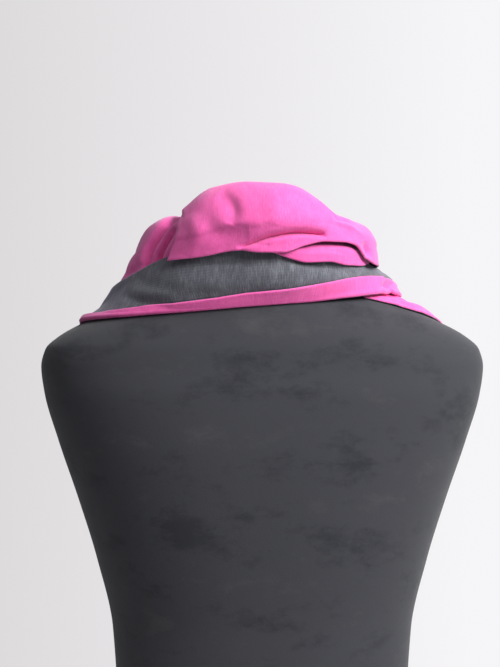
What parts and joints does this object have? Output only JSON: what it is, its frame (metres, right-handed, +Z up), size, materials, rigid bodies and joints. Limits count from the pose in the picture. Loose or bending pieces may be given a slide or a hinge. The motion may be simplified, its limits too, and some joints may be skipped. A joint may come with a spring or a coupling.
{
  "type": "triangle scarf on a limbless dress form",
  "caption": "Two-sided jersey triangle scarf wound round the neck of a limbless dress form, with its point and both ends hanging in front.",
  "frame": {"origin": "middle of the dress form's flat underside, below the neck's axis", "axes": "+Z up, the form faces -Y, +X is the form's left side"},
  "size_m": [0.402, 0.2558, 0.7023],
  "materials": {
    "form_cover": "charcoal flocked cover, slightly scuffed",
    "pink_jersey": "bright pink cotton jersey, soft and matt",
    "grey_marl_jersey": "dark grey marl jersey, soft and matt"
  },
  "bodies": {
    "root": {"dress_form": "form_cover", "scarf_nape_fold": "pink_jersey", "scarf_right_side": "pink_jersey", "scarf_front_cowl": "pink_jersey", "scarf_left_roll": "pink_jersey", "scarf_under_wrap": "pink_jersey", "scarf_grey_wrap": "grey_marl_jersey", "scarf_turned_edge": "pink_jersey", "scarf_right_end": "pink_jersey", "scarf_left_end": "grey_marl_jersey"}
  },
  "joints": []
}
